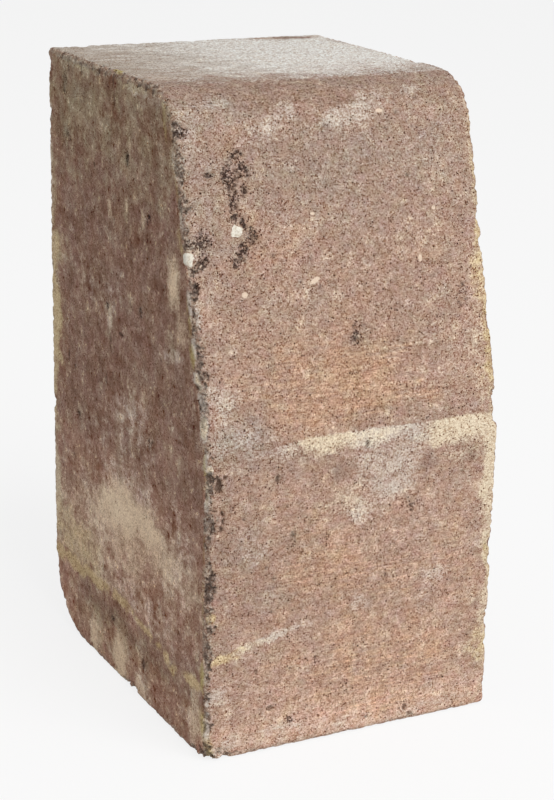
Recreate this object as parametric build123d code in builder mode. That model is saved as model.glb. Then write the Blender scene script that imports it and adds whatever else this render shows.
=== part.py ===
from build123d import *

import os
from math import cos, radians, sin, sqrt, tan

# Half-battered concrete block kerb, pressed in one piece and tumbled.
#
# X runs along the kerb line, Y from the channel face to the back, and Z up.
# The origin is on the bed, under the middle of the block. Sizes are in millimetres.

# Overall sizes
length = 100.0
width = 125.0
height = 200.0

# Section
bend_height = 98.0  # the face is upright up to here and battered above
batter_angle = 15.0  # from the vertical
bend_radius = 40.0  # softens the line where the two parts of the face meet
nose_radius = 19.0  # top front edge
heel_radius = 26.0  # bottom back edge, the bullnose when the block is laid the other way up

# Wear from tumbling
arris_radius = 2.5  # every edge that was cast sharp

# Spalls down the left front arris. Each is a scoop: its height above the bed, half its length
# along the arris, its bite, and how far it turns from the channel face towards the end face.
spalls = [
    (188.0, 4.4, 3.2, 35.0),
    (173.5, 6.4, 2.2, 50.0),
    (152.5, 7.0, 3.4, 22.0),
    (113.5, 8.4, 2.4, 58.0),
    (89.5, 5.0, 3.8, 14.0),
    (75.5, 7.2, 3.4, 24.0),
    (55.0, 8.0, 4.2, 20.0),
    (33.0, 6.6, 2.2, 42.0),
]
toe_knock_radius = 9.0  # the knocked-off corner where the left front arris meets the bed
toe_knock_bite = 4.6


def face_depth(z):
    """Y of the channel face at height z, before any rounding."""
    return -width / 2 + max(0.0, z - bend_height) * tan(radians(batter_angle))


# The section across the kerb, upright in YZ
face_toe = (-width / 2, 0)
face_bend = (-width / 2, bend_height)
face_top = (face_depth(height), height)
back_top = (width / 2, height)
back_toe = (width / 2, 0)

with BuildPart() as kerb:
    with BuildSketch(Plane.YZ) as section:
        with BuildLine() as outline:
            Polyline(face_toe, face_bend, face_top, back_top, back_toe, close=True)
        make_face()
        corners = {
            face_toe: arris_radius,
            face_bend: bend_radius,
            face_top: nose_radius,
            back_top: arris_radius,
            back_toe: heel_radius,
        }
        for corner, radius in corners.items():
            fillet(section.vertices().sort_by_distance(corner)[0], radius=radius)
    extrude(amount=length / 2, both=True)

    # The two ends keep the whole outline of the section, with its edge worn round
    ends = kerb.faces().filter_by(Axis.X)
    fillet(ends.edges(), radius=arris_radius)

    # Spalls are shallow scoops out of the left front arris
    for z, half_length, bite, turn in spalls:
        scoop_radius = (half_length**2 + bite**2) / (2 * bite)
        reach = scoop_radius - bite
        scoop_centre = (
            -length / 2 - reach * sin(radians(turn)),
            face_depth(z) - reach * cos(radians(turn)),
            z,
        )
        with Locations(scoop_centre):
            Sphere(radius=scoop_radius, mode=Mode.SUBTRACT)

    # The knocked corner is cut along the space diagonal of the three faces that meet there
    knock_reach = (toe_knock_radius - toe_knock_bite) / sqrt(3)
    with Locations((-length / 2 - knock_reach, -width / 2 - knock_reach, -knock_reach)):
        Sphere(radius=toe_knock_radius, mode=Mode.SUBTRACT)

kerb.part.label = "kerb_block"

os.makedirs("parts", exist_ok=True)
export_step(kerb.part, "parts/kerb_block.step")
print(f"kerb_block: {kerb.part.volume / 1e6:.4f} litres, {kerb.part.bounding_box().size}")
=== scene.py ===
# %% [markdown]
# A tumbled concrete block kerb
#
# The real block is pressed from a sandy, nearly dry concrete and then rolled in a drum, so that its
# arrises crumble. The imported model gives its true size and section. This script gives it the crumbled
# arrises, pits and stones as a mesh, and the sand, lime bloom and dirt as a finish made of nodes.

from itertools import product
from math import cos, radians, sin, tan

import bmesh
import bpy
import numpy as np
from mathutils import Euler, Matrix, Vector, kdtree


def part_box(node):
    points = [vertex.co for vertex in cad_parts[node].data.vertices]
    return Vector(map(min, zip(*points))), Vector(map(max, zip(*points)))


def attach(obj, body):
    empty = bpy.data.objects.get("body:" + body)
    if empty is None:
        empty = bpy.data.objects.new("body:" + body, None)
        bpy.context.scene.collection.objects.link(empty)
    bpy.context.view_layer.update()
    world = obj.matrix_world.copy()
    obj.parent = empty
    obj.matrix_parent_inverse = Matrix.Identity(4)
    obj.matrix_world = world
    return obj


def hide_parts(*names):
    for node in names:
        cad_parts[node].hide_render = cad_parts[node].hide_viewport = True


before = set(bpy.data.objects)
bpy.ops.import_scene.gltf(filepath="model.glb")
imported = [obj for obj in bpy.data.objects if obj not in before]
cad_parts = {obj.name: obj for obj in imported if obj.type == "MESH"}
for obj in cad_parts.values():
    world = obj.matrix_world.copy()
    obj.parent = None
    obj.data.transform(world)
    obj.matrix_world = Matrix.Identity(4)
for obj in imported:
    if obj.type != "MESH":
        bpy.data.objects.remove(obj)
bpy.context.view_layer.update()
kerb_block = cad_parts["kerb_block"]

# %% [markdown]
# The camera
#
# The block stands upright and is seen from its left front, a little from above. A long lens keeps the
# upright lines nearly parallel, as in the photograph. The place and the angles are real ones, in
# millimetres and degrees, and a camera in Blender looks down its own -Z, so it starts flat and is
# rolled, tipped up and turned.

# %% Camera
MM = 0.001  # Blender works in metres, and this script in millimetres

camera_place = Vector((-283.9, -561.1, 290.3))
camera_yaw = 27.20  # to the right of straight ahead, which is +Y
camera_pitch = 17.56  # down from level
camera_roll = 1.09
lens_length = 91.07  # on a 36 mm sensor, along the picture's long side

camera_data = bpy.data.cameras.new("camera")
camera_data.lens = lens_length
camera = bpy.data.objects.new("camera", camera_data)
camera.location = camera_place * MM
turn = Matrix.Rotation(radians(-camera_yaw), 3, "Z")
tip = Matrix.Rotation(radians(90 - camera_pitch), 3, "X")
roll = Matrix.Rotation(radians(camera_roll), 3, "Z")
camera.rotation_euler = (turn @ tip @ roll).to_euler()
bpy.context.scene.collection.objects.link(camera)
bpy.context.scene.camera = camera

# %% [markdown]
# The section of the kerb
#
# Wear follows the arrises, so the script has to know how far a point lies from the nearest one. The
# block is a section pushed straight along X, and every flat of it gives one depth: how far a point
# lies behind that flat. The least of these depths is the depth inside the block, and where two flats
# meet, the two depths and a radius give the rounding between them. Such a distance function also
# gives the way straight inwards, as its gradient.

# %% Section
low_corner, high_corner = (np.array(corner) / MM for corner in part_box("kerb_block"))
length, width, height = high_corner - low_corner
bend_height = 98.0
batter = radians(15.0)
bend_radius = 40.0
nose_radius = 19.0
heel_radius = 26.0
arris_radius = 1.6  # under the crumbs, which wear it to the solid's 2.5


def round_off(first, second, normals_cos, radius):
    """Depth inside two flats that meet in a round edge. normals_cos is between their normals."""
    a, b = radius - first, radius - second
    span = np.sqrt(np.maximum(a * a + b * b - 2 * a * b * normals_cos, 0) / (1 - normals_cos**2))
    in_edge = (a > b * normals_cos) & (b > a * normals_cos)
    return np.where(in_edge, radius - span, np.minimum(first, second))


def flats(points):
    """The depth of each point behind the flats of the block, in millimetres."""
    x, y, z = points.T
    upright = y + width / 2
    battered = upright * cos(batter) - (z - bend_height) * sin(batter)
    return upright, battered, width / 2 - y, height - z, z, length / 2 - abs(x)


def block_depth(points, edge_radius=arris_radius):
    """How deep each point lies inside the block, before any wear."""
    upright, battered, back, crown, bed, ends = flats(points)
    section = np.minimum.reduce([
        round_off(upright, battered, cos(batter), bend_radius),
        round_off(battered, crown, sin(batter), nose_radius),
        round_off(back, bed, 0.0, heel_radius),
        round_off(upright, bed, 0.0, edge_radius),
        round_off(back, crown, 0.0, edge_radius),
    ])
    return round_off(section, ends, 0.0, edge_radius)


def inward(points, edge_radius):
    """The direction straight into the block at each point."""
    nudge = 0.05
    axes = np.eye(3) * nudge
    slope = [block_depth(points + a, edge_radius) - block_depth(points - a, edge_radius) for a in axes]
    way = np.stack(slope, axis=1)
    return way / np.maximum(np.linalg.norm(way, axis=1), 1e-9)[:, None]


def arris_distance(points):
    """How far each surface point lies from the nearest sharp-cast edge. The nose and heel aren't."""
    upright, battered, back, crown, bed, ends = flats(points)
    nose = round_off(battered, crown, sin(batter), nose_radius)
    heel = round_off(back, bed, 0.0, heel_radius)
    section = np.minimum.reduce([upright, nose, heel])
    return np.minimum.reduce([np.maximum(section, ends), np.maximum(upright, bed), np.maximum(back, crown)])


def face_depth(z):
    """Y of the channel face at height z."""
    return -width / 2 + np.maximum(0.0, z - bend_height) * tan(batter)


print(f"Section {length:.0f} x {width:.0f} x {height:.0f} mm")

# %% [markdown]
# A skin of small squares
#
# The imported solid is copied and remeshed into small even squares. The solid's few large scoops are
# filled again, because the finer wear below makes its own: each vertex is moved out to the unworn
# surface, which also takes the facets out of the rounded nose.

# %% Remeshing
square_size = 0.45


def apply_modifiers(piece):
    graph = bpy.context.evaluated_depsgraph_get()
    mesh = bpy.data.meshes.new_from_object(piece.evaluated_get(graph))
    piece.modifiers.clear()
    piece.data = mesh


kerb_mesh = kerb_block.data.copy()
kerb_mesh.materials.clear()
tumbled_kerb = bpy.data.objects.new("tumbled_kerb", kerb_mesh)
bpy.context.scene.collection.objects.link(tumbled_kerb)

welder = bmesh.new()
welder.from_mesh(kerb_mesh)
bmesh.ops.remove_doubles(welder, verts=welder.verts, dist=0.001 * MM)
welder.to_mesh(kerb_mesh)
welder.free()

squares = tumbled_kerb.modifiers.new("squares", "REMESH")
squares.mode = "VOXEL"
squares.voxel_size = square_size * MM
apply_modifiers(tumbled_kerb)

skin = np.zeros(len(tumbled_kerb.data.vertices) * 3)
tumbled_kerb.data.vertices.foreach_get("co", skin)
skin = skin.reshape(-1, 3) / MM
# Over a wide radius the way inwards turns slowly, so nothing creases at an arris
slide_radius = 8.0
wear_radius = 7.0
slides = 4
for _ in range(slides):
    skin -= inward(skin, slide_radius) * block_depth(skin)[:, None]
way_in = inward(skin, wear_radius)
skin_x, skin_y, skin_z = skin.T
arris = arris_distance(skin)
left_over = abs(block_depth(skin)).max()
print(f"{len(skin)} vertices, {(arris < 4).sum()} of them near an arris, {left_over:.3f} mm off the surface")

# %% [markdown]
# Random lattices
#
# Crumbled concrete has no pattern, but its lumps have sizes. A lattice of seeded random numbers,
# smoothly filled in between, gives lumps of one size, and several lattices added up, each half as
# coarse as the one before, give a rough break. Numpy does this for all the vertices at once.

# %% Noise
lattice_side = 32
lattice_turn = np.array(Euler((0.5, 0.7, 0.9)).to_matrix())  # so that no lump lies along a face


def lumps(points, size, seed):
    """Smooth random values from -1 to 1 that change over about size millimetres."""
    lattice = np.random.default_rng(seed).uniform(-1, 1, (lattice_side,) * 3)
    grid = points @ lattice_turn / size
    cell = np.floor(grid).astype(int)
    part = grid - cell
    part = part * part * (3 - 2 * part)
    total = np.zeros(len(points))
    for corner in product((0, 1), repeat=3):
        weight = np.prod(np.where(corner, part, 1 - part), axis=1)
        i, j, k = ((cell + corner) % lattice_side).T
        total += weight * lattice[i, j, k]
    return total


def rough(points, size, seed, octaves=3):
    """Lumps on lumps, each half the size and 0.55 of the strength of those before."""
    total = np.zeros(len(points))
    for octave in range(octaves):
        total += 0.55**octave * lumps(points + 11.3 * octave, size / 2**octave, seed + octave)
    return total


def ramp(values, start, end):
    """0 at start, 1 at end, smooth between."""
    share = np.clip((values - start) / (end - start), 0, 1)
    return share * share * (3 - 2 * share)


def pushes(size, seeds, octaves=3):
    """One rough value per vertex and seed, which pushes the outline of a mark about."""
    return np.stack([rough(skin, size, seed, octaves) for seed in seeds], axis=1)


def count(mask, level=0.5):
    return int((mask > level).sum())


stray = pushes(2.2, (20, 30, 40))
splinter = pushes(1.5, (21, 31, 41), octaves=2)
print("Stray runs from", stray.min().round(2), "to", stray.max().round(2))

# %% [markdown]
# Crumbled arrises
#
# Rolling against other blocks knocks the sharp edges off in crumbs of a grain or two, and here and
# there a larger chip. The crumbs are a band of rough noise of uneven width along every arris. The
# chips of the arris that faces the camera are placed one by one. Each is an ellipsoid round a point
# of the arris, and noise of two sizes pushes its outline about, so that it ends in single grains.

# %% Crumbs and flakes
band = 2.0 + 1.1 * lumps(skin, 8, 2) + 0.8 * splinter[:, 0]
crumbs = ramp(arris / np.maximum(band, 0.6), 1.25, 0.5)
bed_arris = ramp(skin_z, 8.0, 2.0)
crumb_depth = crumbs * (0.20 + 0.40 * rough(skin, 1.4, 3)) * (1 - 0.4 * bed_arris)

left_end = ramp(skin_x + length / 2, 5.0, 2.0)
flake_reach = arris + 0.8 * stray[:, 1] + 0.5 * splinter[:, 1]
flake_share = rough(skin, 6.5, 6) + bed_arris * (0.25 * left_end - 0.20)
flakes = ramp(flake_share, 0.32, 0.75) * ramp(flake_reach, 4.0, 1.4)
flake_depth = flakes * (0.9 + 0.5 * rough(skin, 1.5, 9))
print("Vertices in crumbs and flakes:", count(crumbs), count(flakes))

# %% Chips
# Height, half height, reach on the channel face, reach on the end face, depth, dirt
near_arris_chips = [
    (197, 1.9, 4.2, 2.6, 1, 0.6),
    (194.2, 1.6, 3.4, 1.6, 0.9, 0.8),
    (190, 1.5, 3, 1.6, 1.1, 0.5),
    (187.4, 1.7, 3.4, 1.6, 1.2, 0.5),
    (182.5, 1.6, 2.2, 1.6, 0.7, 0.4),
    (176.5, 3.2, 2, 2.2, 0.9, 0.4),
    (171, 2.2, 1.8, 2.4, 0.8, 0.5),
    (166.5, 2, 2.6, 1.6, 0.9, 0.7),
    (161, 1.8, 1.8, 1.6, 0.7, 0.4),
    (157, 1.8, 3.2, 1.6, 0.9, 0.6),
    (150, 1.8, 3, 1.6, 1, 0.7),
    (146, 1.8, 2.6, 1.8, 1.4, 0.9),
    (143.8, 1.8, 3.6, 2, 1.6, 1),
    (138.5, 2.2, 2, 1.8, 0.7, 0.2),
    (133.5, 2.4, 2.2, 1.8, 0.8, 0.4),
    (128.8, 1.4, 3, 1.6, 0.9, 0.6),
    (125, 2.2, 3, 2.2, 0.9, 0.8),
    (121.5, 1.8, 3.2, 2.4, 1, 0.7),
    (117.4, 2.2, 2.4, 3.4, 1.3, 0.2),
    (112.5, 3, 1.6, 3.2, 1, 0.6),
    (106.5, 2.6, 1.2, 2, 0.6, 0.1),
    (97.8, 1.8, 2.2, 1.6, 1, 0.9),
    (91.2, 1.9, 2.6, 1.4, 1.5, 0.9),
    (88.4, 2, 2.2, 1.2, 0.8, 0.2),
    (82.5, 1.6, 1.8, 1.4, 0.7, 0.5),
    (78.6, 2.2, 4.4, 1.6, 0.9, 0.1),
    (75.6, 1.7, 4.8, 1.6, 0.9, 0.2),
    (71, 1.8, 2, 1.4, 0.8, 0.5),
    (64, 2.4, 2.2, 1.6, 0.9, 0.7),
    (60, 2.2, 2.8, 1.8, 1.3, 0.7),
    (56.6, 2.6, 4.4, 2, 1.7, 0.8),
    (52.8, 1.7, 3.4, 1.6, 1.1, 0.7),
    (49, 1.4, 2, 1.4, 0.6, 0.3),
    (43.6, 2, 3.4, 1.5, 1.1, 0.7),
    (37.5, 2.2, 2.2, 1.6, 0.9, 0.7),
    (32.8, 2.6, 2.6, 1.6, 1, 0.8),
    (28, 2, 1.8, 1.6, 0.7, 0.5),
    (22, 2.4, 2.2, 1.8, 0.8, 0.5),
    (15.5, 2, 2, 1.6, 0.8, 0.4),
    (11.8, 2, 2.8, 1.6, 1, 0.8),
    (5.6, 2, 2.6, 2, 0.9, 0.5),
    (1, 3.6, 5, 6, 2.2, 0.2),
]
# The broad flat chips of the far arris: the same measures, from the right end
far_arris_chips = [
    (103, 3.4, 4, 6, 1.5, 0.2),
    (98.5, 3, 4, 6, 1.6, 0.2),
    (30, 5, 2.4, 5, 0.9, 0.2),
    (128, 4, 2.4, 5, 0.8, 0.2),
]
# Notches in the top arris of the left end: y, half width, reach down the end, reach on top, depth
crown_notches = [
    (50, 1.4, 2, 1.4, 0.7),
    (44.5, 1, 1.8, 1.2, 0.7),
    (39, 1, 2.4, 1.3, 1),
    (33.5, 1.1, 4.2, 1.6, 1.4),
    (28.5, 0.9, 1.8, 1.2, 0.7),
    (24, 1.2, 2.6, 1.3, 1),
    (18.5, 1.1, 3.4, 1.4, 1.2),
    (13, 0.9, 1.8, 1.2, 0.7),
    (7, 1, 4.4, 1.6, 1.1),
    (1, 1.2, 2, 1.4, 0.8),
    (-4.5, 1.3, 2, 1.5, 0.8),
    (-8.5, 1.6, 2, 1.6, 0.9),
    (-13, 1.6, 2.2, 1.6, 1),
    (-18, 1.4, 3.2, 1.8, 1.4),
    (-22.5, 1.6, 2.6, 2, 1.1),
]
from_left_end = np.maximum(skin_x + length / 2, 0)
from_right_end = np.maximum(length / 2 - skin_x, 0)
from_face = np.maximum(skin_y - face_depth(skin_z), 0)
from_crown = np.maximum(height - skin_z, 0)
push = 0.9 * stray + 1.1 * splinter
chips = np.zeros(len(skin))
chip_depth = np.zeros(len(skin))
dirt = np.zeros(len(skin))


def knock(along, over, up, deepest, dirtiness):
    """One chip. Each distance is given as a share of the chip's reach that way."""
    here = ramp(along**2 + over**2 + up**2, 1.15, 0.5)
    chips[:] = np.maximum(chips, here)
    chip_depth[:] = np.maximum(chip_depth, here * deepest)
    dirt[:] = np.maximum(dirt, here * dirtiness)


for from_end, rows in ((from_left_end, near_arris_chips), (from_right_end, far_arris_chips)):
    for z, half_height, face_reach, end_reach, deepest, dirtiness in rows:
        along = (from_end + push[:, 0]) / face_reach
        over = (from_face + push[:, 1]) / end_reach
        knock(along, over, (skin_z + push[:, 2] - z) / half_height, deepest, dirtiness)
for y, half_width, end_reach, top_reach, deepest in crown_notches:
    along = (skin_y + 0.4 * push[:, 1] - y) / half_width
    over = (from_left_end + 0.5 * push[:, 0]) / top_reach
    knock(along, over, (from_crown + push[:, 2]) / end_reach, deepest, 0.8)
chip_depth = 0.8 * chip_depth + chips * (0.10 + 0.55 * rough(skin, 1.2, 12, 2))
print("Vertices in chips:", count(chips))

# %% [markdown]
# Pits and honeycomb
#
# Where the dry mix didn't close against the mould, it leaves open cells between the grains. Each
# cell here is one small pit with an uneven outline. Patches of them are sown at random inside the
# outlines that the real block shows, single pits are placed one by one, and small ones are sown thinly
# over the whole block. A tree of the vertices finds the few that each pit moves.

# %% How a pit is sunk
tree = kdtree.KDTree(len(skin))
for index, place in enumerate(skin):
    tree.insert(place, index)
tree.balance()

pit_depth = np.zeros(len(skin))
pit = np.zeros(len(skin))
sower = np.random.default_rng(5)


def sink(place, radius, deepest, stretch=(1, 1, 1)):
    """Makes one pit with an uneven outline round a place."""
    widest = radius * max(stretch)
    found = [index for _, index, _ in tree.find_range(place, widest * 1.5)]
    if found:
        offset = (skin[found] + 0.3 * radius * splinter[found] - place) / (radius * np.array(stretch))
        bowl = 1 - np.linalg.norm(offset, axis=1) ** 2
        pit_depth[found] = np.maximum(pit_depth[found], deepest * np.clip(bowl * 1.4, 0, 1))
        pit[found] = np.maximum(pit[found], min(1.0, deepest * 1.4) * np.clip(bowl * 1.8, 0, 1))


def channel_point(x, z):
    return np.array([x, face_depth(z), z])


def end_point(y, z):
    return np.array([-length / 2, y, z])


def sow(point, rows, radii, depths, least=1.0):
    """Patches of open cells. Where a patch has few cells they are shallower, down to a least share."""
    for across, z, half_width, half_height, cells in rows:
        for _ in range(cells):
            angle, share = sower.uniform(0, 2 * np.pi), sower.uniform(0, 1) ** 0.5
            right, up = half_width * share * np.cos(angle), half_height * share * np.sin(angle)
            radius = sower.uniform(*radii)
            sink(point(across + right, z + up), radius, sower.uniform(*depths) * min(1.0, least + cells / 8))


print("Pits can be sunk among", len(skin), "vertices")

# %% Honeycomb and pits of the channel face
# Patches of open concrete: x, height, half width, half height, cells
honeycomb = [
    (-33.4, 174.3, 2.6, 4.8, 27),
    (-28.6, 176.4, 1.8, 2.6, 10),
    (-31, 181, 2.4, 1.2, 7),
    (-29.4, 170.6, 1.2, 1.8, 6),
    (-33, 167.2, 1.6, 2.8, 11),
    (-33.4, 163.6, 1.2, 1.6, 5),
    (-31, 161.5, 0.8, 2.2, 4),
    (-29.2, 157.6, 2.2, 2.2, 11),
    (-32.2, 153.8, 2.2, 2.2, 12),
    (-34.6, 151, 1.8, 1.2, 5),
    (-45.6, 157.4, 4, 2, 15),
    (-44.6, 152.6, 1.8, 2.6, 9),
    (-47, 150.6, 1.8, 1.4, 5),
    (-47.8, 144.8, 1.8, 2.2, 7),
    (-46.6, 189, 1.4, 1.8, 4),
    (-40, 176, 1.4, 1, 4),
    (2.2, 127.5, 1.4, 4.2, 7),
    (19.6, 73, 1.6, 2.4, 3),
    (-21.2, 69, 1, 2.4, 2),
    (3.4, 94.6, 1, 1.6, 1),
    (-18, 53, 1.2, 1.6, 1),
    (12, 51, 1, 1.4, 1),
    (-13.5, 27.3, 1.6, 1.4, 2),
    (-3, 18, 1.3, 1.8, 2),
    (-22, 8.5, 1.4, 1.3, 2),
    (41, 133, 2.4, 2.6, 3),
    (41.5, 138.5, 1.6, 1.2, 2),
    (31.3, 130.5, 1.2, 1.2, 1),
]
sow(channel_point, honeycomb, radii=(0.42, 0.74), depths=(0.6, 1.25), least=0.4)

# Single pits: x, height, half width, half height, depth
single_pits = [
    (-39.5, 176, 1.2, 0.8, 0.8),
    (-29.5, 170.7, 0.8, 1.2, 1.1),
    (-23, 170.7, 0.6, 0.6, 0.6),
    (-22.3, 152, 0.8, 0.9, 0.7),
    (-10, 150.3, 0.5, 0.5, 0.5),
    (24.5, 100.2, 0.9, 0.6, 0.8),
    (3.7, 95.2, 0.7, 1.1, 0.8),
    (-38, 125, 0.8, 0.5, 0.6),
    (-21.3, 123, 0.5, 0.6, 0.5),
    (-26.8, 88, 0.9, 1.4, 1),
    (-34.7, 98.8, 0.6, 0.6, 0.6),
    (-35.5, 115.3, 0.9, 0.6, 0.6),
    (-44, 91, 0.8, 0.8, 0.7),
    (-21.5, 69.5, 0.8, 1.7, 0.8),
    (-46.2, 88.8, 1.5, 2.6, 1.7),
    (-46.8, 91.2, 0.9, 1.2, 1.2),
    (-44.4, 91, 0.5, 0.9, 1),
    (-44.8, 80, 0.5, 1.3, 1.2),
    (-44.4, 77.6, 0.5, 1.5, 1.3),
    (-45.2, 75.2, 0.6, 1, 1.1),
    (-47.6, 81.2, 1, 0.5, 1),
    (-48.6, 75, 0.7, 1.8, 1.1),
    (-37.8, 77, 0.6, 0.6, 0.8),
    (-10, 67.5, 0.5, 0.6, 0.5),
    (-27.5, 56.5, 0.9, 0.7, 0.6),
    (-27.3, 53.8, 0.5, 0.5, 0.7),
    (-28, 46, 0.6, 0.6, 0.7),
    (11, 51.3, 0.6, 0.7, 0.8),
    (20, 4.3, 1.1, 1.4, 1),
    (6, 4, 0.8, 0.7, 0.7),
    (-28, 14, 1.6, 1, 0.8),
    (-33, 27, 0.7, 1.1, 0.7),
    (-21.5, 26, 0.5, 0.6, 0.6),
]
for x, z, half_width, half_height, deepest in single_pits:
    sink(channel_point(x, z), 1.0, deepest, stretch=(half_width, 2.0, half_height))

print("Vertices in pits of the channel face:", count(pit_depth, 0.2))

# %% Honeycomb and pits of the left end
# Single pits: y, height, half width, half height, depth
end_pits = [
    (-3.5, 175, 1.2, 1.6, 1.1),
    (7.4, 197, 0.7, 2.4, 1),
    (6.5, 191.1, 0.9, 2.6, 1.3),
    (33, 197.2, 0.8, 3, 1.1),
    (19, 198.4, 0.7, 1.8, 0.9),
    (44, 196, 0.7, 2.4, 0.8),
    (23, 168.5, 1.2, 0.8, 0.6),
    (-13.5, 130, 1.2, 1.4, 0.6),
    (13, 125, 1.4, 1.4, 0.6),
    (-15, 13.5, 2, 2, 0.9),
    (-20, 90, 1.2, 1, 0.5),
    (38, 82, 1.4, 1.2, 0.5),
    (10.5, 113.5, 0.8, 3.4, 0.9),
    (2, 118.4, 2.4, 0.8, 0.8),
    (14, 100.8, 0.8, 2.4, 0.8),
    (47, 99.8, 1, 2.6, 0.8),
    (41.5, 97.2, 0.8, 1.6, 0.8),
]
# Patches of open concrete: y, height, half width, half height, cells
end_honeycomb = [
    (47.5, 190, 3, 3.2, 6),
    (45, 174, 2.6, 2.4, 4),
    (-3.5, 175, 1.6, 2.2, 4),
    (-14, 130, 1.6, 1.8, 3),
    (12.5, 125, 1.2, 1.2, 2),
    (38, 82, 2.4, 1.4, 3),
    (-15.5, 13.5, 1.8, 1.8, 3),
    (10, 19, 2, 0.8, 3),
    (-22, 90, 2.4, 3, 4),
    (-20, 160, 1.4, 1.2, 2),
]
sow(end_point, end_honeycomb, radii=(0.5, 0.9), depths=(0.5, 1.1))
for y, z, half_width, half_height, deepest in end_pits:
    sink(end_point(y, z), 1.0, deepest, stretch=(2.0, half_width, half_height))

small_pits = 900  # anywhere on the block
for place in skin[sower.integers(0, len(skin), small_pits)]:
    sink(place, sower.uniform(0.35, 0.8), sower.uniform(0.15, 0.55))
print("Vertices in all the pits:", count(pit_depth, 0.2))

# %% [markdown]
# Bared stones
#
# Two white pebbles show at the surface. A broken pebble isn't round, so each outline is a few flat
# sides, given one by one. The crumbs and pits stop at a pebble, so its mask takes them away there, and a
# small negative depth lets it stand a little proud of the mortar.

# %% Pebbles and the final shape
# Middle of each stone, and the flat sides of its outline: which way a side looks, and how far out it is
pebbles = {
    (-33.2, 160.3): [(62, 1.2), (0, 1.8), (-42, 1.5), (-110, 1.9), (165, 1.7), (112, 1.7)],
    (-48.9, 153.4): [(85, 1.6), (25, 1.7), (-35, 1.4), (-95, 1.7), (180, 2.4), (130, 1.7)],
}
pebble = np.zeros(len(skin))
for (x, z), sides in pebbles.items():
    right = skin_x + 0.25 * stray[:, 0] + 0.3 * splinter[:, 0] - x
    up = skin_z + 0.25 * stray[:, 2] + 0.3 * splinter[:, 2] - z
    outline = [(right * cos(radians(angle)) + up * sin(radians(angle))) / reach for angle, reach in sides]
    stone = ramp(np.maximum.reduce(outline), 1.08, 0.88) * ramp(from_face, 2.8, 2.0)
    pebble = np.maximum(pebble, stone)

# The faces themselves are uneven by up to a quarter of a millimetre
unevenness = 0.06 * (1 + lumps(skin, 22, 1)) + 0.05 * (1 + lumps(skin, 5, 4))
pebble_stand = 0.15  # millimetres
loose = np.maximum(np.maximum.reduce([crumb_depth, flake_depth, chip_depth, pit_depth]), 0) * (1 - pebble)
depth = unevenness + loose - pebble_stand * pebble
shaped = np.clip(skin + way_in * depth[:, None], low_corner, high_corner)
tumbled_kerb.data.vertices.foreach_set("co", (shaped * MM).ravel())

worn = np.clip(np.maximum.reduce([0.7 * crumbs, flakes, chips]), 0, 1) * (1 - pebble)
near_arris = ramp(from_left_end + from_face, 9.0, 6.0)
crown_arris = ramp(from_left_end + from_crown, 8.0, 5.0)
layers = {
    "crumbled": worn * np.maximum.reduce([0.66 * near_arris, 0.5 * crown_arris, np.full(len(skin), 0.15)]),
    # How deep a point lies in crumbs, flakes, chips and pits: for painted shade and dirt in these hollows
    "hollow_shade_and_dirt": loose * (1 - 0.7 * ramp(from_right_end, 9.0, 6.0)),
    "dirt": dirt * (1 - pebble),
    "worn": worn * (1 - 0.6 * ramp(from_right_end, 9.0, 6.0)),
    "pebble": pebble,
    # Where the pits lie: for painted shade and dirt in them
    "pit": pit * (1 - pebble),
}
print("Deepest point:", depth.max().round(2), "mm")

# %% [markdown]
# Where the stains lie
#
# Lime washes out of young concrete and dries as a white bloom, mostly along the bend of the face,
# on the nose and over the top. Old soil leaves buff patches on the ends, and lichen a yellow-green
# edge. Each stain is a soft ellipse on its face, with an outline made ragged by lumps, and each kind
# of stain is one value per vertex. Painting them here is cheaper than a shader with hundreds of
# nodes, and the finish below breaks their edges up with the sand. The faces that the photograph
# doesn't show get stains of the same kinds and sizes, sown at random.

# %% Stain helpers
wander = pushes(9.0, (50, 60))
fray = pushes(2.4, (70, 80))
facing = -inward(skin, arris_radius)
on_channel = ramp(-facing[:, 1], 0.35, 0.75)
on_left_end = ramp(-facing[:, 0], 0.35, 0.75)
on_crown = ramp(facing[:, 2], 0.94, 0.995)


def blots(across, up, rows):
    """Soft ragged ellipses. A row: middle across and up, half width, half height, strength, tilt."""
    total = np.zeros(len(skin))
    for across_0, up_0, half_width, half_height, strength, *tilt in rows:
        ragged = min(half_width, half_height, 9.0)
        da = across - across_0 + 0.45 * ragged * wander[:, 0] + 0.15 * ragged * fray[:, 0]
        du = up - up_0 + 0.45 * ragged * wander[:, 1] + 0.15 * ragged * fray[:, 1]
        angle = radians(tilt[0]) if tilt else 0.0
        along = (da * cos(angle) + du * sin(angle)) / half_width
        over = (du * cos(angle) - da * sin(angle)) / half_height
        total = np.maximum(total, strength * ramp(np.hypot(along, over), 1.25, 0.25))
    return total


def on_channel_face(rows):
    return blots(skin_x, skin_z, rows) * on_channel


def on_end_face(rows):
    return blots(skin_y, skin_z, rows) * on_left_end


def round_near_arris(rows):
    """Stains on the arris that faces the camera. Across is negative on the end, positive on the face."""
    return blots(from_left_end - from_face, skin_z, rows) * near_arris


def lay(kind, values):
    """Adds a stain to those of its kind. Where two meet, the stronger one counts."""
    layers[kind] = np.maximum(layers.get(kind, 0.0), values)


def lay_open(on_a_face, patches, share):
    """Where cells were sown the concrete is open, and the more so the closer they lie."""
    spread = 1.3  # times the patch
    rows = []
    for across, up, half_width, half_height, cells in patches:
        strength = min(1.0, share * cells / (half_width * half_height))
        rows.append((across, up, spread * half_width, spread * half_height, strength))
    lay("open", on_a_face(rows))


def tell(*kinds):
    """Prints on how many vertices each kind of stain is strong so far."""
    print("Stained:", ", ".join(f"{kind} {count(layers[kind])}" for kind in kinds))


print("Share of the vertices on the channel face:", (on_channel > 0.5).mean().round(2))

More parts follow.
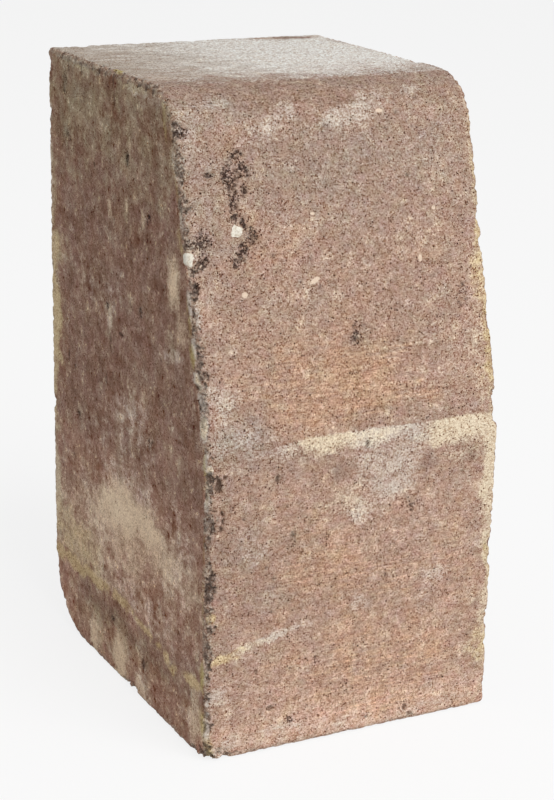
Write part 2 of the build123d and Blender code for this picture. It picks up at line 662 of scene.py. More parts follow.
# %% Tones of the channel face
lay("orange", on_channel_face([
    (-5, 114, 30, 17, 1),
    (-14, 60, 30, 20, 0.5),
    (8, 30, 44, 30, 0.5),
    (-20, 158, 18, 18, 0.4),
    (-6, 27, 10, 4, 0.6),
    (26, 24, 12, 3, 0.6),
    (-28, 28, 9, 3, 0.5),
    (36, 66, 8, 5, 0.5),
    (22, 108, 12, 3, 0.5),
]))
lay("grey", on_channel_face([
    (-44, 172, 14, 34, 0.6),
    (34, 178, 30, 24, 0.5),
    (0, 172, 50, 24, 0.5),
    (-38, 100, 15, 14, 0.7),
    (-36, 68, 13, 12, 0.6),
    (-30, 50, 14, 8, 0.5),
    (8, 180, 12, 7, 0.6),
    (-36, 194, 20, 8, 0.8),
]))
# Paler patches, and broad bands low on the face: these bands are painted light from the white floor below
lay("pale_and_floor_light", on_channel_face([
    (6, 80, 46, 18, 0.8),
    (26, 60, 40, 34, 1),
    (30, 54, 10, 5, 1.6),
    (38, 38, 8, 5, 1.5),
    (-4, 66, 8, 4, 1.4),
    (42, 74, 6, 5, 1.5),
    (10, 24, 80, 26, 1.1),
    (0, 6, 80, 13, 2),
    (46, 60, 10, 120, 0.6),
    (-24, 20, 20, 16, 1.3),
    (34, 112, 22, 10, 0.4),
]))
lay("dark", on_channel_face([
    (0, 199, 70, 9, 0.85),
    (0, 186, 60, 10, 0.42),
    (25, 87, 4.4, 3, 1.2),
    (-5.5, 88, 6, 4, 1.1),
    (38.5, 86, 4.4, 3, 1.1),
    (22, 95.5, 5, 2, 1),
    (3.5, 95.5, 3, 2.4, 1),
    (-1.5, 138, 5, 3, 0.5),
    (16, 127, 4, 3, 0.5),
    (-14, 176, 50, 18, 0.5),
    (-36, 150, 18, 24, 0.4),
    (2, 127, 7, 9, 0.6),
    (-16, 88, 9, 4, 0.5),
    (-8, 84, 5, 4, 0.4),
    (19, 73, 4, 4, 0.5),
    (-21, 69, 3, 4, 0.5),
    (-45, 70, 4, 6, 0.6),
    (-10, 50, 40, 5, 0.25),
    (20, 60, 7, 4, 0.5),
    (34, 46, 6, 3, 0.5),
    (8, 58, 6, 3, 0.4),
    (-24, 78, 6, 4, 0.4),
]))
tell("orange", "grey", "pale_and_floor_light", "dark")

# %% Lime bloom
lay("lime", on_channel_face([
    (-35, 195.5, 6, 3.6, 0.72),
    (-44, 189, 9, 7, 0.46),
    (-16.5, 190, 13, 4, 0.72, 23),
    (-16, 189, 17, 8, 0.36, 23),
    (-26, 185, 14, 5, 0.24),
    (9, 190.6, 18, 4.6, 0.80, 18),
    (9, 189, 21, 8, 0.42, 18),
    (30, 195.8, 7, 1.6, 0.72, 5),
    (14, 182, 16, 6, 0.18),
    (33, 184, 12, 8, 0.18),
    (-43, 113.5, 8, 4.5, 0.62),
    (-37, 101.5, 7, 4, 0.58),
    (-45, 105, 6, 10, 0.52),
    (-24, 97.5, 7, 3, 0.7),
    (10, 91, 19, 6.5, 0.66),
    (12, 85, 15, 9, 0.70),
    (14.5, 88, 4, 3, 1),
    (13, 81, 6, 3, 1),
    (9, 78, 14, 7, 0.45),
    (0, 73, 5, 3.4, 0.9),
    (2, 77.5, 3.4, 2, 0.8),
    (30, 48.5, 8, 3.5, 0.6),
    (24, 39, 3.5, 8, 0.5),
    (1, 44, 6, 6, 0.5),
    (-33, 66, 7, 7, 0.36),
    (-37, 35.6, 8, 1.3, 1, 11),
    (-28, 37.6, 9, 1.4, 1.4, 11),
    (-19, 39.4, 7, 1.3, 1, 10),
    (-10, 40.4, 4, 1, 0.6, 10),
    (-46, 21, 6, 4, 0.7),
    (-44, 5, 8, 5, 0.7),
    (28, 11, 8, 5, 0.4),
    (34, 4.6, 16, 1.4, 0.8),
    (-22, 7, 18, 1.3, 0.8),
    (0, 3, 60, 5, 0.42),
]))
# The bloom along the bend starts there as a sharp line
below_bend = ramp(skin_z + 0.5 * fray[:, 0], 100.6, 98.6)
lay("lime", below_bend * on_channel_face([
    (6, 98, 18, 5, 1.15),
    (20, 98, 12, 5, 0.95),
]))
lay("cream", below_bend * on_channel_face([
    (-10, 98, 14, 5, 1.3),
    (6, 98, 14, 4.5, 0.8),
    (36, 98, 16, 7, 1.35),
    (44, 95, 8, 7, 1.1),
    (48, 84, 4.2, 20, 1.6),
    (28, 98, 8, 5, 0.9),
    (38, 88, 10, 5, 0.5),
]))
lay("cream", on_channel_face([
    (-2, 78, 10, 7, 0.55),
    (17, 78, 6, 5, 0.4),
    (-44, 33.6, 6, 1.8, 0.8, 14),
    (-34, 36.2, 9, 1.2, 1, 11),
    (-48.5, 47.5, 3, 2, 0.7),
    (-40, 113, 8, 3, 0.4),
    (44, 21.5, 5, 4, 0.7),
    (-46, 19, 4, 2, 0.6),
    (49, 60, 4.6, 70, 0.95),
    (48, 64, 6, 44, 0.40),
    (49.4, 150, 3.6, 54, 0.7),
    (46, 118, 8, 24, 0.50),
]))
lay("lichen", on_channel_face([
    (-45, 33.2, 5, 1.8, 1.15, 16),
    (-40, 34.8, 5, 1.3, 0.7, 12),
    (-48.2, 47.4, 3, 1.8, 1.5),
    (48.6, 132, 3.6, 36, 0.6),
    (49.4, 176, 2.6, 20, 0.25),
    (47, 22, 5, 12, 0.4),
]))
lay("moss", on_channel_face([
    (49, 118, 3.4, 20, 0.45),
    (49, 160, 3, 26, 0.4),
    (49, 50, 3, 12, 0.5),
    (48, 22, 4, 12, 0.3),
]))
lay_open(on_channel_face, honeycomb, 0.7)
lay_open(on_end_face, end_honeycomb, 0.8)
lay("drag", on_channel_face([
    (6, 113, 44, 15, 1),
    (10, 55, 46, 14, 0.7),
    (0, 74, 50, 8, 0.5),
    (6, 16, 50, 16, 0.6),
]))
tell("lime", "cream", "lichen", "open")

# %% Bloom and lichen on the near arris
lay("lime", round_near_arris([
    (-1.2, 178, 2, 8, 0.7),
    (-1.2, 165, 1.8, 8, 0.8),
    (-1.4, 140, 1.8, 7, 1.1),
    (-1.4, 128, 1.8, 5, 1.3),
    (-1, 118.4, 2.4, 3, 1.7),
    (-0.8, 113.5, 2.2, 3, 1.6),
    (-0.4, 107, 2.6, 5.4, 1.9),
    (0.6, 93.6, 2, 2.4, 1.6),
    (-1, 96, 1.8, 5, 1.5),
    (-0.8, 84, 1.8, 3.4, 1.4),
    (-1.4, 77, 1.6, 5, 0.7),
    (0.2, 20.2, 1.4, 1.4, 1.4),
    (0, 16.4, 1.3, 1.2, 1.4),
    (1.6, 137, 1.8, 4, 1),
    (-1.8, 60, 1.6, 10, 0.4),
    (-1.6, 44, 1.6, 7, 0.5),
    (-1.2, 30, 1.8, 6, 0.8),
    (0.4, 3, 4, 3, 0.9),
    (-0.6, 12, 2.2, 6, 1.1),
]))
lay("cream", round_near_arris([
    (-0.5, 107, 2.2, 4.2, 1.8),
    (0.8, 93.8, 1.8, 1.6, 1.3),
    (-0.9, 87, 1.3, 6, 1.2),
    (-0.8, 118, 1.9, 3, 1.2),
    (-1, 135, 1.5, 3, 0.8),
]))
lay("moss", round_near_arris([
    (-2, 57, 1.2, 9, 0.35),
    (-1.8, 171, 1.8, 9, 0.45),
    (-3.4, 158, 2, 6, 0.6),
    (-2.8, 136, 2, 7, 0.6),
    (-2.6, 125, 2.2, 6, 0.8),
    (-1.6, 95, 1.4, 6, 0.7),
    (-1.6, 70, 1, 10, 0.5),
    (-1.8, 48, 1, 7, 0.5),
    (-2.4, 28, 2, 7, 0.9),
    (-2.6, 14, 2.6, 7, 0.7),
    (-6, 190, 4, 8, 0.6),
    (0.4, 4, 2.6, 6, 0.9),
]))
tell("lime", "cream", "moss")

# %% Soil and bloom of the left end
lay("olive", on_end_face([
    (40, 186, 40, 26, 0.8),
    (5, 186, 56, 20, 0.7),
    (-25, 186, 28, 20, 0.7),
    (-8, 166, 34, 20, 0.4),
    (0, 14, 70, 12, 0.5),
    (61, 120, 8, 76, 0.9),
    (44, 36, 36, 14, 0.6),
]))
lay("haze", on_end_face([
    (-2, 66, 28, 14, 0.8),
    (-14, 70, 14, 7, 0.9),
    (-6, 90, 24, 14, 0.8),
    (-40, 60, 16, 12, 0.8),
    (32, 131, 3, 2, 1.2),
    (0.5, 139.8, 2, 4, 1.2),
    (10, 122.8, 1.6, 5, 1.7),
    (-35.5, 123.2, 7, 1.6, 1.3, -25),
    (-54, 124.5, 2.4, 4, 1),
    (20, 54, 30, 16, 0.6),
    (-40, 50, 16, 12, 0.7),
    (0, 34, 60, 8, 0.7),
    (12, 126, 10, 9, 0.7),
    (30, 130, 12, 9, 0.5),
    (-38, 123, 9, 4, 0.8, -12),
    (-12, 196.6, 15, 2, 1.2, 3),
    (-26, 195, 6, 2.4, 1.2),
    (30, 198, 36, 2, 1),
    (61, 150, 2.4, 50, 0.9),
    (61.5, 80, 2, 40, 0.7),
    (25, 8, 6, 8, 0.6),
    (-14, 5, 5, 7, 0.9),
    (-54, 12, 8, 9, 0.7),
    (-56, 190, 5, 8, 0.4),
    (20, 80, 8, 10, 0.4),
]))
lay("buff", on_end_face([
    (2, 58, 24, 11, 1.4),
    (-14, 59, 24, 9, 1.3),
    (14, 54, 18, 10, 1),
    (-30, 55, 18, 9, 0.8),
    (0, 46, 24, 8, 0.7),
    (30, 46, 36, 20, 0.45),
    (48, 38, 24, 13, 0.5),
    (-44, 52, 18, 14, 0.45),
    (25.5, 5, 4.4, 9, 1.6),
    (3.2, 5, 6, 13, 1.7),
    (-13, 3, 4.4, 6, 0.9),
    (-56, 12, 8, 9, 0.9),
    (-38, 145, 6.5, 10, 1.5),
    (-44, 132, 5, 8, 0.6),
    (3, 178.5, 2.2, 3, 0.75),
    (-6.5, 179, 1.8, 3, 0.85),
    (-14, 179.5, 1.8, 2.6, 0.75),
    (9.5, 157.5, 1.6, 3.6, 0.95),
    (-3, 160.5, 1.6, 3.6, 0.95),
    (-15.5, 159.5, 1.6, 3, 0.95),
    (10, 122.8, 2.2, 6, 0.8),
    (33, 132, 4, 3, 0.5),
    (23, 122, 4, 2.4, 0.6),
    (38, 83, 6, 3, 0.4),
    (34, 30, 40, 3, 0.6),
    (-34, 23.6, 3, 2.6, 0.9),
    (-53, 23.2, 8, 1.8, 0.8),
]))
lay("lichen", on_end_face([
    (57, 26, 8, 2.4, 1.3),
    (43, 26.4, 13, 2.8, 1.4),
    (24, 28.2, 15, 2.4, 1.4),
    (4, 28.4, 14, 2, 1.3),
    (-15, 26.6, 11, 1.6, 1.1, 7),
    (-28, 25, 4, 1.5, 1.1),
    (-34, 23.6, 3, 2.6, 1.3),
    (-40, 21.5, 3.4, 1.8, 1.4),
    (-53, 23.2, 8, 1.7, 1.6),
    (44, 36, 30, 10, 0.5),
    (60, 108, 7, 46, 0.8),
]))
lay("cream", on_end_face([
    (60.5, 105, 6, 54, 1),
    (60.5, 48, 6, 20, 1.1),
    (61.5, 170, 3, 24, 0.6),
]))
# Lighter towards the bottom of the end: painted light from the white floor below, with some real paler haze
lay("pale_and_floor_light", on_end_face([
    (0, 66, 90, 14, 0.9),
    (0, 44, 90, 22, 1.2),
    (0, 8, 90, 14, 0.8),
    (52, 20, 14, 18, 1.5),
    (60, 100, 9, 110, 0.8),
    (-14, 92, 40, 14, 0.4),
]))
lay("dark", on_end_face([
    (0, 18, 80, 3.6, 0.7),
    (12, 21, 20, 2, 0.8),
    (-16, 13, 5, 6, 0.9),
    (-30, 40, 16, 9, 0.5),
    (-50, 42, 14, 10, 0.5),
    (-40, 100, 30, 30, 0.3),
    (30, 150, 34, 18, 0.3),
    (48, 190, 7, 5, 0.8),
    (30, 190, 14, 7, 0.6),
    (46, 174, 6, 4, 0.6),
    (20, 100, 50, 6, 0.35),
    (38, 83, 6, 5, 0.7),
    (12, 130, 3, 4, 0.6),
    (-13.5, 130, 3, 4, 0.7),
    (-3.5, 175, 3.4, 4, 0.9),
]))
tell("olive", "haze", "buff", "lichen")

# %% Top
lay("crown", on_crown * blots(skin_x, skin_y, [
    (0, 44, 200, 84, 1.5),
]))
# Where the bloom is thin or cracked
layers["crown"] *= 1 - blots(skin_x, skin_y, [
    (34, 57, 20, 5, 0.80),
    (47, 36, 3, 22, 0.5),
    (-12, 25, 4, 1.4, 0.7),
    (-10, 13, 5, 1.2, 0.6),
    (19, 25, 4, 1.4, 0.6),
    (4, 44, 10, 1.6, 0.4),
    (-26, 2, 8, 1.4, 0.5),
    (12, 5, 10, 1.2, 0.4),
])
lay("pale_and_floor_light", on_crown * blots(skin_x, skin_y, [(10, 0, 60, 40, 1.0)]))
lay("dark", on_crown * blots(skin_x, skin_y, [
    (-50, 22, 8, 70, 0.8),
    (-12, 25, 3, 4, 0.8),
    (-10, 13, 3, 5, 0.8),
    (19, 25, 3, 3, 0.6),
    (37, 56, 8, 6, 1.3),
    (44, 24, 4, 12, 0.5),
]))
# The nose holds less bloom than the top, and is darker and greyer
on_nose = ramp(facing[:, 2], 0.55, 0.90) * ramp(skin_y + 0.6 * wander[:, 0], -12.0, -20.0)
lay("dark", 0.7 * on_nose)
lay("grey", 0.35 * on_nose)


def round_crown_arris(rows):
    """Stains on the top arris of the left end. Up is negative on the end, positive on the top."""
    return blots(skin_y, from_left_end - from_crown, rows) * crown_arris


lay("moss", round_crown_arris([
    (5.5, 1, 4.4, 1.5, 1.7),
    (-10, -3, 16, 2, 0.5),
    (34, -2.4, 26, 1.6, 0.4),
]))
lay("dark", round_crown_arris([
    (36, -1.4, 24, 1.3, 1.3),
    (14, -1.4, 8, 1.2, 1),
    (-4, 0.9, 6, 0.9, 1.3),
    (-20, -0.8, 12, 1.6, 1.3),
]))
tell("crown", "pale_and_floor_light", "dark")

# %% The faces that can't be seen
unseen = ramp(facing[:, 0], 0.4, 0.8), ramp(facing[:, 1], 0.4, 0.8), ramp(-facing[:, 2], 0.4, 0.8)
flat_places = (skin_y, skin_z), (skin_x, skin_z), (skin_x, skin_y)
for share, (across, up) in zip(unseen, flat_places):
    for kind, patches in (("lime", 14), ("buff", 10), ("olive", 6)):
        rows = [
            (sower.uniform(-55, 55), sower.uniform(0, 200), sower.uniform(4, 18), sower.uniform(3, 10),
             sower.uniform(0.4, 0.9))
            for _ in range(patches)
        ]
        lay(kind, share * blots(across, up, rows))

for name, values in layers.items():
    layer = tumbled_kerb.data.attributes.new(name, "FLOAT", "POINT")
    layer.data.foreach_set("value", values.astype(np.float32))
tumbled_kerb.data.update()
print("Values kept at each vertex:", ", ".join(layers))

# %% [markdown]
# Thinning
#
# The flat faces need far fewer triangles than the crumbled arrises. Collapsing the edges that matter
# least keeps the triangles where the shape is rough.

# %% Thin the flat parts
triangle_budget = 192_000
thin = tumbled_kerb.modifiers.new("thin", "DECIMATE")
thin.ratio = min(1.0, triangle_budget / (2 * len(tumbled_kerb.data.polygons)))
apply_modifiers(tumbled_kerb)
tumbled_kerb.data.shade_smooth()
triangles = sum(len(face.vertices) - 2 for face in tumbled_kerb.data.polygons)
print("Triangles:", triangles)

# %% [markdown]
# Node maths as Python expressions
#
# A finish is a network of nodes. Adding each node by hand hides the idea, so one small class wraps a
# node's output and lets Python's own operators add the Math nodes. Every other node comes from one
# method, which takes the kind of node, its settings and what goes into its sockets.

# %% Value and Finish


def linear(red, green, blue):
    """A screen colour, 0 to 255, as the linear colour that nodes use."""
    parts = [channel / 255 for channel in (red, green, blue)]
    return tuple(p / 12.92 if p <= 0.04045 else ((p + 0.055) / 1.055) ** 2.4 for p in parts)


class Value:
    """One output of a node. Arithmetic on it adds Math nodes."""

    def __init__(self, finish, socket):
        self.finish = finish
        self.socket = socket

    def __add__(self, other):
        return self.finish.maths("ADD", self, other)

    def __sub__(self, other):
        return self.finish.maths("SUBTRACT", self, other)

    def __mul__(self, other):
        return self.finish.maths("MULTIPLY", self, other)

    def __rsub__(self, other):
        return self.finish.maths("SUBTRACT", other, self)

    __radd__ = __add__
    __rmul__ = __mul__


class Finish:
    """The nodes of a material or a world, with short ways to add them."""

    def __init__(self, owner):
        owner.use_nodes = True
        self.owner = owner
        self.tree = owner.node_tree
        self.tree.nodes.clear()

    def node(self, kind, settings=None, inputs=None, output=0):
        made = self.tree.nodes.new("ShaderNode" + kind)
        for name, setting in (settings or {}).items():
            setattr(made, name, setting)
        for name, given in (inputs or {}).items():
            socket = made.inputs[name]
            if isinstance(given, Value):
                self.tree.links.new(given.socket, socket)
            else:
                socket.default_value = given
        return Value(self, made.outputs[output]) if made.outputs else None

    def maths(self, operation, *parts):
        """Numbers and values, which a Math node takes."""
        return self.node("Math", {"operation": operation}, dict(enumerate(parts)))

    def vectors(self, operation, *parts):
        """Colours, places and threes of numbers, which a Vector Math node takes."""
        return self.node("VectorMath", {"operation": operation}, dict(enumerate(parts)))

    def larger(self, first, second):
        return self.maths("MAXIMUM", first, second)

    def step(self, value, start, end):
        """0 where value is at start or before it, 1 at end or past it, and smooth between."""
        return self.node(
            "MapRange",
            {"interpolation_type": "SMOOTHSTEP"},
            {"Value": value, "From Min": start, "From Max": end},
        )

    def mix(self, share, first, second):
        """A colour: first where share is 0, second where it is 1."""
        first, second = (c if isinstance(c, Value) else (*c, 1.0) for c in (first, second))
        return self.node("Mix", {"data_type": "RGBA"}, {"Factor": share, 6: first, 7: second}, output=2)

    def scaled(self, vector, times):
        """A colour made that many times as bright, or a place that many times as far."""
        return self.node("VectorMath", {"operation": "SCALE"}, {0: vector, "Scale": times})

    def lighten(self, colour, share):
        """A colour made lighter by a share, as sand does: its hue fades a little on the way."""
        change = self.scaled((0.76, 1.03, 1.22), share)
        return self.vectors("MULTIPLY_ADD", colour, change, colour)

    def noise(self, place, size, detail=2.0, roughness=0.5, output=0):
        """Soft random values round 0.5 whose lumps are about size millimetres across."""
        lumpy = {"Vector": place, "Scale": 1 / size, "Detail": detail, "Roughness": roughness}
        return self.node("TexNoise", {}, lumpy, output)

    def cells(self, place, size, output=0):
        """Random cells. Output 0 is how far a point is from its cell's middle, 1 the cell's own colour."""
        celled = {"Vector": place, "Scale": 1 / size, "Randomness": 1.0}
        return self.node("TexVoronoi", {}, celled, output)


print("Value and Finish are ready")

# %% [markdown]
# Where on the block a point lies
#
# The colours of the real block differ from face to face. Object coordinates are real millimetres
# here, so a face is told by plain comparisons, and the values kept at the vertices come in by name.

# %% Coordinates
concrete = Finish(bpy.data.materials.new("tumbled_concrete"))
# Nearly all the nodes are this finish's, so its methods get short names
mix, step, noise, cells = concrete.mix, concrete.step, concrete.noise, concrete.cells
larger, vectors, scaled, lighten = concrete.larger, concrete.vectors, concrete.scaled, concrete.lighten

place = scaled(concrete.node("TexCoord", output=3), 1 / MM)
x, z = (concrete.node("SeparateXYZ", {}, {0: place}, output) for output in (0, 2))
on_end = step(concrete.maths("ABSOLUTE", x), length / 2 - 1.6, length / 2 - 0.5)


def kept(name):
    """A value that was kept at the vertices."""
    return concrete.node("Attribute", {"attribute_name": name}, output=2)


def tell_nodes():
    print("Nodes so far:", len(concrete.tree.nodes))


tell_nodes()

# %% [markdown]
# Sand
#
# Close up, the face is grains of sand half a millimetre across, bound by pigmented cement, with gaps
# between them. Voronoi cells stand for the grains: each cell has its own lightness, and the
# distance from its middle shows the gaps. Wider cells stand for pores, and the widest for the crumbs
# of broken concrete, with crevices between them. The colour darkens the gaps, pores and crevices:
# painted shade in these small hollows, which the bump also sinks. Noises decide where the mix is
# open. The ends were pressed smoother, so there the sand is weaker.

# %% Grain
grain_size = 0.52
pore_size = 0.70
crumb_size = 1.1
from_middle = cells(place, grain_size)
lightness = concrete.node("SeparateColor", {}, {0: cells(place, grain_size, output=1)}) - 0.5
dust = noise(place, 0.30, 1.0, 0.6) - 0.5
openness = noise(place, 1.5, 3.0, 0.65) - 0.5
freckle = noise(place, 1.5, 2.0, 0.6) - 0.5
blotch = noise(place, 4.5, 3.0, 0.6) - 0.5
cloud = noise(place, 16.0, 4.0, 0.6) - 0.5
open_here = kept("open")
pore_draw = concrete.node("SeparateColor", {}, {0: cells(place, pore_size, output=1)}) - 0.5
pore_here = step(pore_draw * 0.5 + openness * 1.2 + open_here * 0.6, 0.06, 0.20)
pinhole = step(cells(place, pore_size), 0.48, 0.22) * pore_here
gap = step(from_middle, 0.46, 0.80)
from_crumb = cells(place, crumb_size)
broken = step(larger(open_here, kept("crumbled")) + freckle * 1.4, 0.25, 0.9)
crevice = step(from_crumb + dust * 0.6, 0.53, 0.67) * broken
sandiness = 1 - on_end * 0.36
# Pinholes and the gaps between grains are made darker here: painted shade in these small hollows
speckle = lightness * 0.74 + dust * 2.4 - pinhole * 0.80 - gap * 0.18 + 0.14
grit = (speckle - speckle * speckle * 0.30) * sandiness * 1.07
tell_nodes()

# %% [markdown]
# Body colour
#
# The concrete is pigmented red-brown. On the channel face it runs from mauve brown to orange brown
# in faint bands along the kerb, where the face of the mould dragged. The ends are darker, red and
# olive, with soft mottling.

# %% Body colour
mauve_brown = linear(167, 138, 121)
orange_brown = linear(183, 147, 121)
pale_pink = linear(193, 166, 147)
grey_brown = linear(158, 143, 130)

along_kerb = vectors("MULTIPLY", place, (0.09, 0.3, 1.0))
drag = noise(along_kerb, 0.9, 3.0, 0.6) - 0.5
scratch = noise(along_kerb, 0.34, 2.0, 0.6) - 0.5
dragged = kept("drag")

orange_share = step(kept("orange") * 0.8 + cloud * 1.6 + drag * (0.8 + dragged * 1.2), 0.0, 0.9)
face_colour = mix(orange_share, mauve_brown, orange_brown)
face_colour = mix(step(blotch, 0.0, 0.24) * 0.5, face_colour, pale_pink)
grey_share = step(kept("grey") + cloud * 0.8, 0.1, 0.9) * 0.6
face_colour = mix(grey_share, face_colour, grey_brown)
streaks = drag * (0.45 + dragged * 0.70) + scratch * (0.30 + dragged * 0.60)
face_colour = lighten(face_colour, streaks + freckle * 0.50 + blotch * 0.28)
tell_nodes()

# %% The ends
red_brown = linear(147, 114, 97)
olive_brown = linear(152, 128, 104)
pale_haze = linear(206, 188, 172)
sandy_tan = linear(196, 166, 132)
end_drag_lean = radians(-20)
up_the_end = concrete.node(
    "Mapping",
    {"vector_type": "POINT"},
    {"Vector": place, "Rotation": (end_drag_lean, 0, 0), "Scale": (1.0, 0.28, 1.0)},
)
end_drag = noise(up_the_end, 2.2, 3.0, 0.6) - 0.5
olive_share = step(kept("olive") + cloud * 1.8 + blotch * 1.4, 0.0, 0.9)
end_colour = mix(olive_share, red_brown, olive_brown)
haze_share = step(kept("haze") * 0.50 + blotch * 0.9 + freckle * 0.5 + end_drag * 0.6, 0.0, 0.95)
end_colour = mix(haze_share * 0.75, end_colour, pale_haze)
tan_share = step(freckle + blotch * 0.5, 0.16, 0.23)
end_colour = mix(tan_share * 0.6, end_colour, sandy_tan)
pock = step(noise(place, 2.0, 2.0, 0.5), 0.37, 0.31)
mottle = blotch * 1.5 + freckle * 0.9 - pock * 0.6 + cloud * 1.8 + end_drag * 0.6
end_colour = lighten(end_colour, 0.07 + mottle)
colour = mix(on_end, face_colour, end_colour)
# Lighter where the pale stains lie and within 24 mm of the bed: painted light from the floor, partly a real
# paler tone
paleness_and_floor_light = kept("pale_and_floor_light") * (0.17 + on_end * 0.22) + step(z, 24.0, 0.0) * 0.20
darkness = step(kept("dark") + blotch * 0.8, 0.1, 1.0) * 0.24
colour = scaled(colour, 1 + paleness_and_floor_light - darkness)


def tints(size, strength):
    """Random changes of hue in lumps of about size millimetres."""
    around_0 = vectors("SUBTRACT", noise(place, size, output=1), (0.5, 0.5, 0.5))
    return scaled(vectors("MULTIPLY", around_0, (0.36, 0.12, 0.42)), strength)


hue = vectors("ADD", tints(2.8, 0.62 - on_end * 0.3), tints(7.0, 0.4 + on_end * 0.2))
colour = vectors("MULTIPLY_ADD", colour, hue, colour)
tell_nodes()

# %% [markdown]
# Stains on the sand
#
# Each stain lies on the grains first, so its mask is broken up by the same grains that colour the
# sand, and the painted shade in the gaps between them stays dark. The grain's own light and dark,
# with that painted shade, comes last.


# %% Stains
def on_grains(mask, grip=0.6):
    """A stain's mask, broken up by the sand it lies on."""
    edge = lightness * 0.3 + dust * 0.8 - pinhole * 0.5 + blotch * 1.2 + freckle * 0.5 + drag * 0.6
    return step(mask * 0.8 + edge * grip, 0.16, 1.0)


crown = on_grains(kept("crown"))
lime = on_grains(kept("lime"))
cream = on_grains(kept("cream"))
uneven = blotch * 0.8 + freckle * 0.8 + dust * 0.8 + end_drag * 0.5
buff = step(kept("buff") * 0.9 + uneven, -0.05, 1.35)
lichen = step(kept("lichen") + blotch * 1.0 + freckle * 0.8, 0.1, 0.9)
crown_tone = x * 0.018 + drag * 1.7 + blotch * 0.6 + cloud * 0.8
thin_bloom, thick_bloom = linear(174, 160, 146), linear(230, 226, 219)
crown_colour = mix(step(crown_tone, -1.0, 0.25), thin_bloom, thick_bloom)
moss = step(kept("moss") + blotch * 0.6 + freckle * 0.6, 0.1, 1.2)
for share, stain_colour in (
    (crown * 0.88, crown_colour),
    (lime * 0.72, linear(216, 206, 194)),
    (cream * 0.84, linear(227, 209, 181)),
    (buff * 0.85, linear(244, 219, 188)),
    (lichen * 0.55, linear(218, 192, 140)),
    (moss * 0.85, linear(184, 166, 100)),
):
    colour = mix(share, colour, stain_colour)
covered = larger(larger(crown * 0.2, buff), larger(lime, cream))
# In open concrete the crumbs between the crevices are made lighter: painted light on their raised tops
colour = lighten(colour, grit * (1 - covered * 0.42) + open_here * (0.20 - crevice * 0.20))
tell_nodes()

# %% Wear, pits and pebbles
worn_brown = linear(138, 116, 102)
worn_tan = linear(204, 188, 168)
grime = linear(84, 68, 61)
hollow_shade_and_dirt_brown = linear(70, 54, 50)
pit_shade_and_dirt_brown = linear(78, 61, 52)
crevice_shade_brown = linear(64, 49, 45)
pebble_grey = linear(190, 172, 150)
pebble_white = linear(234, 228, 214)

worn_tone = noise(place, 1.3, 3.0, 0.7) - 0.5
dirty = step(kept("dirt") * 0.55 + worn_tone * 1.8 + from_crumb * 0.7 - lightness * 0.3, 0.42, 0.80)
worn_colour = mix(step(worn_tone, -0.12, 0.14), worn_brown, worn_tan)
worn_colour = mix(dirty * 0.7, worn_colour, grime)
worn_share = step(kept("worn") + dust * 0.5 + worn_tone * 0.5, 0.3, 0.9)
colour = mix(worn_share * 0.7 * (1 - lime * 0.8), colour, lighten(worn_colour, grit))
# Painted shade and dirt in the hollows of the wear, the darker the deeper they are
hollow_shade_share = step(kept("hollow_shade_and_dirt") + worn_tone * 1.6, 0.4, 1.5) * (0.42 - open_here * 0.30)
colour = mix(hollow_shade_share, colour, hollow_shade_and_dirt_brown)
# Painted shade and dirt in the pits, stronger on the ends and weaker in open concrete
pit_shade_share = step(kept("pit") + worn_tone * 1.2, 0.2, 1.0) * (0.42 - open_here * 0.28 + on_end * 0.33)
colour = mix(pit_shade_share, colour, pit_shade_and_dirt_brown)
# Painted shade in the crevices and pinholes of open concrete, less where lime fills them
crevice_shade = larger(crevice * (0.64 + open_here * 0.22 - lime * 0.5), open_here * pinhole * 0.7)
colour = mix(crevice_shade, colour, crevice_shade_brown)
pebble_colour = mix(step(worn_tone, -0.25, 0.06), pebble_grey, pebble_white)
colour = mix(step(kept("pebble"), 0.3, 0.6), colour, pebble_colour)

# Chips of coloured sand: x, height, half width, half height, tilt
sand_chips = [
    (-32.7, 142, 0.9, 0.8, 0),
    (-9.3, 144, 1.6, 0.7, -25),
    (-8, 163, 0.8, 0.4, 0),
    (27, 147.3, 0.6, 1, 0),
    (33.3, 161.5, 0.6, 0.6, 0),
    (18, 190.7, 1.2, 0.6, 0),
    (30, 114.5, 0.5, 0.4, 0),
    (-46.2, 73.4, 0.45, 0.4, 0),
]
bright_sand = linear(234, 212, 190)
for across, up, half_width, half_height, tilt in sand_chips:
    chip_place = concrete.node(
        "Mapping",
        {"vector_type": "TEXTURE"},
        {"Vector": place, "Location": tuple(channel_point(across, up)), "Rotation": (0, radians(tilt), 0),
         "Scale": (1.6 * half_width, 3.0, 1.6 * half_height)},
    )
    chip = concrete.node("TexGradient", {"gradient_type": "SPHERICAL"}, {"Vector": chip_place})
    colour = mix(step(chip + dust * 0.3, 0.2, 0.45) * 0.85, colour, bright_sand)
tell_nodes()

# %% Relief and the shader
height_of_grain = dust * 0.6 - gap * 0.35 - pinhole * (0.8 + open_here * 0.8) - crevice * 2.0 + openness * 0.4
grain_relief = 0.34  # millimetres
relief = {"Strength": 0.75, "Distance": grain_relief * MM, "Height": height_of_grain * sandiness}
bump = concrete.node("Bump", {}, relief)
surface = concrete.node(
    "BsdfPrincipled",
    {},
    {"Base Color": colour, "Roughness": 0.93, "Specular IOR Level": 0.25, "Normal": bump},
)
concrete.node("OutputMaterial", {}, {"Surface": surface})
tumbled_kerb.data.materials.append(concrete.owner)

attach(tumbled_kerb, "root")
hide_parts("kerb_block")
print("Nodes in the finish:", len(concrete.tree.nodes))

# %% [markdown]
# Floor, lamps and world
#
# A plain white floor and a white room. The floor keeps the block's shadow: it is a matt white that
# glows a little for the camera alone, so the background is white with no more light on the block.
# One large softbox at the front right leaves the left end in shade, as in the photograph.

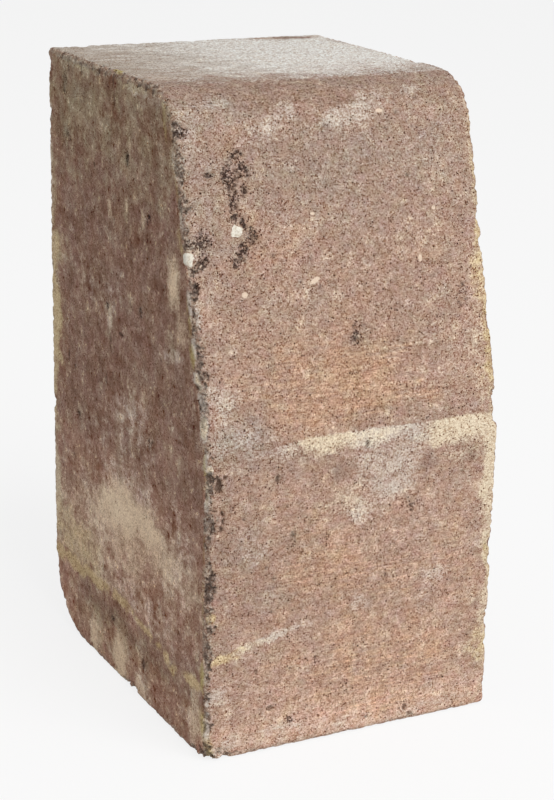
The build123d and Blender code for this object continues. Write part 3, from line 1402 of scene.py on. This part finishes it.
# %% Floor
floor_half = 6.0  # metres
floor_mesh = bpy.data.meshes.new("floor")
corners = [(-floor_half, -floor_half, 0), (floor_half, -floor_half, 0)]
corners += [(floor_half, floor_half, 0), (-floor_half, floor_half, 0)]
floor_mesh.from_pydata(corners, [], [(0, 1, 2, 3)])
floor = bpy.data.objects.new("floor", floor_mesh)
bpy.context.scene.collection.objects.link(floor)


def seen(finish):
    """1 where the camera looks at a thing itself, or at its image in gloss or glass."""
    looks = "Is Camera Ray", "Is Glossy Ray", "Is Transmission Ray"
    directly, in_gloss, through = (finish.node("LightPath", output=name) for name in looks)
    return finish.larger(directly, finish.larger(in_gloss, through))


paper = Finish(bpy.data.materials.new("white_paper"))
matt = paper.node("BsdfDiffuse", {}, {"Color": (0.85, 0.85, 0.85, 1)})
glow = paper.node("Emission", {}, {"Color": (1, 1, 1, 1), "Strength": 1.0})
floor_shader = paper.node("MixShader", {}, {0: seen(paper) * 0.82, 1: matt, 2: glow})
paper.node("OutputMaterial", {}, {"Surface": floor_shader})
floor_mesh.materials.append(paper.owner)

# %% Lamps


def softbox(name, azimuth, elevation, distance, size, power):
    """A square lamp that faces the middle of the block. Azimuth 0 is in front, 90 to the right."""
    a, e = radians(azimuth), radians(elevation)
    lamp = bpy.data.lights.new(name, "AREA")
    lamp.size = size
    lamp.energy = power
    placed = bpy.data.objects.new(name, lamp)
    direction = Vector((sin(a) * cos(e), -cos(a) * cos(e), sin(e)))
    placed.location = direction * distance + Vector((0, 0, height / 2 * MM))
    placed.rotation_euler = direction.to_track_quat("Z", "Y").to_euler()
    bpy.context.scene.collection.objects.link(placed)


softbox("key", azimuth=12, elevation=46, distance=2.0, size=1.4, power=30)

# %% World
world = bpy.data.worlds.new("studio")
bpy.context.scene.world = world
studio = Finish(world)
room = studio.node("Background", {}, {"Color": (1, 1, 1, 1), "Strength": 0.42})
backdrop = studio.node("Background", {}, {"Color": (1, 1, 1, 1), "Strength": 1.0})
studio_shader = studio.node("MixShader", {}, {0: seen(studio), 1: room, 2: backdrop})
studio.node("OutputWorld", {}, {"Surface": studio_shader})

bpy.context.scene.view_settings.view_transform = "Standard"
